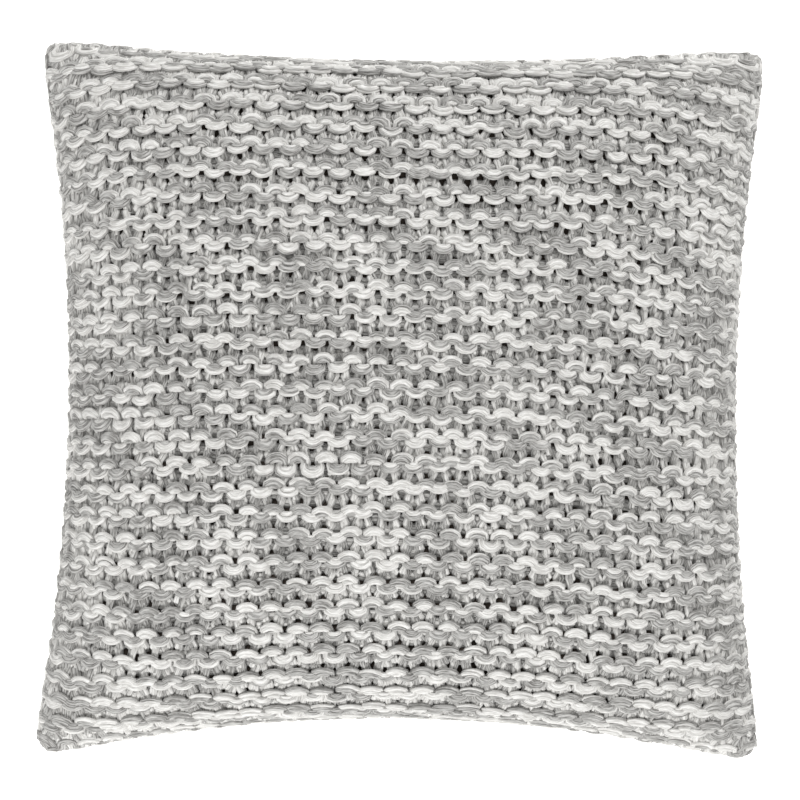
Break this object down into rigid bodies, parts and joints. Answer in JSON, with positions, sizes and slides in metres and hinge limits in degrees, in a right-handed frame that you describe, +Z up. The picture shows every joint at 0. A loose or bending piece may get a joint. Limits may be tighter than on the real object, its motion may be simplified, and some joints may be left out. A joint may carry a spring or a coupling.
{
  "type": "throw pillow",
  "caption": "Square throw pillow with a chunky garter-stitch cotton front, a woven back, a zip along one side and a stuffed insert.",
  "frame": {"origin": "on the surface that the pillow lies on, under the middle of its outline", "axes": "+Z up through the thickness, towards the knitted front; +X to the right and +Y to the top side of the front as seen from above; the zip runs along the -Y side"},
  "size_m": [0.4624, 0.456, 0.15],
  "materials": {
    "knit_yarn": "chunky marled cotton yarn, low-twist, knitted in garter stitch, matt",
    "lining_cotton": "thin plain-weave cotton, matt",
    "back_cotton": "plain-weave cotton canvas, matt",
    "sewing_thread": "spun polyester sewing thread",
    "zip_tape": "woven polyester tape",
    "zip_nylon": "nylon coil, satin",
    "zip_metal": "die-cast zinc, nickel plated, satin",
    "label_satin": "woven satin label, blank",
    "insert_cotton": "thin plain-weave cotton",
    "polyester_fibre": "loose hollow polyester fibre"
  },
  "bodies": {
    "pillow": {"knit_front_panel": "knit_yarn", "front_lining": "lining_cotton", "back_panel": "back_cotton", "cover_seam_thread": "sewing_thread", "zip_tape_front": "zip_tape", "zip_tape_back": "zip_tape", "zip_coil_front": "zip_nylon", "zip_coil_back": "zip_nylon", "zip_top_stops": "zip_metal", "zip_bottom_stop": "zip_metal", "zip_thread_front": "sewing_thread", "zip_thread_back": "sewing_thread", "care_label": "label_satin", "insert_front_panel": "insert_cotton", "insert_back_panel": "insert_cotton", "insert_seam_thread": "sewing_thread", "insert_label": "label_satin", "fibre_fill": "polyester_fibre"},
    "slider": {"zip_slider": "zip_metal", "slider_crown": "zip_metal"},
    "tab": {"pull_tab": "zip_metal"}
  },
  "joints": [
    {"name": "zip_slide", "type": "hinge", "parent": "pillow", "child": "slider", "pos_m": [-0.01114, -1.24317, 0.0587], "axis": [0, 0, 1], "range_deg": [0, 17.8]},
    {"name": "tab_swing", "type": "hinge", "parent": "slider", "child": "tab", "pos_m": [0.15988, -0.21162, 0.0587], "axis": [0, 0, 1], "range_deg": [0, 180]}
  ]
}
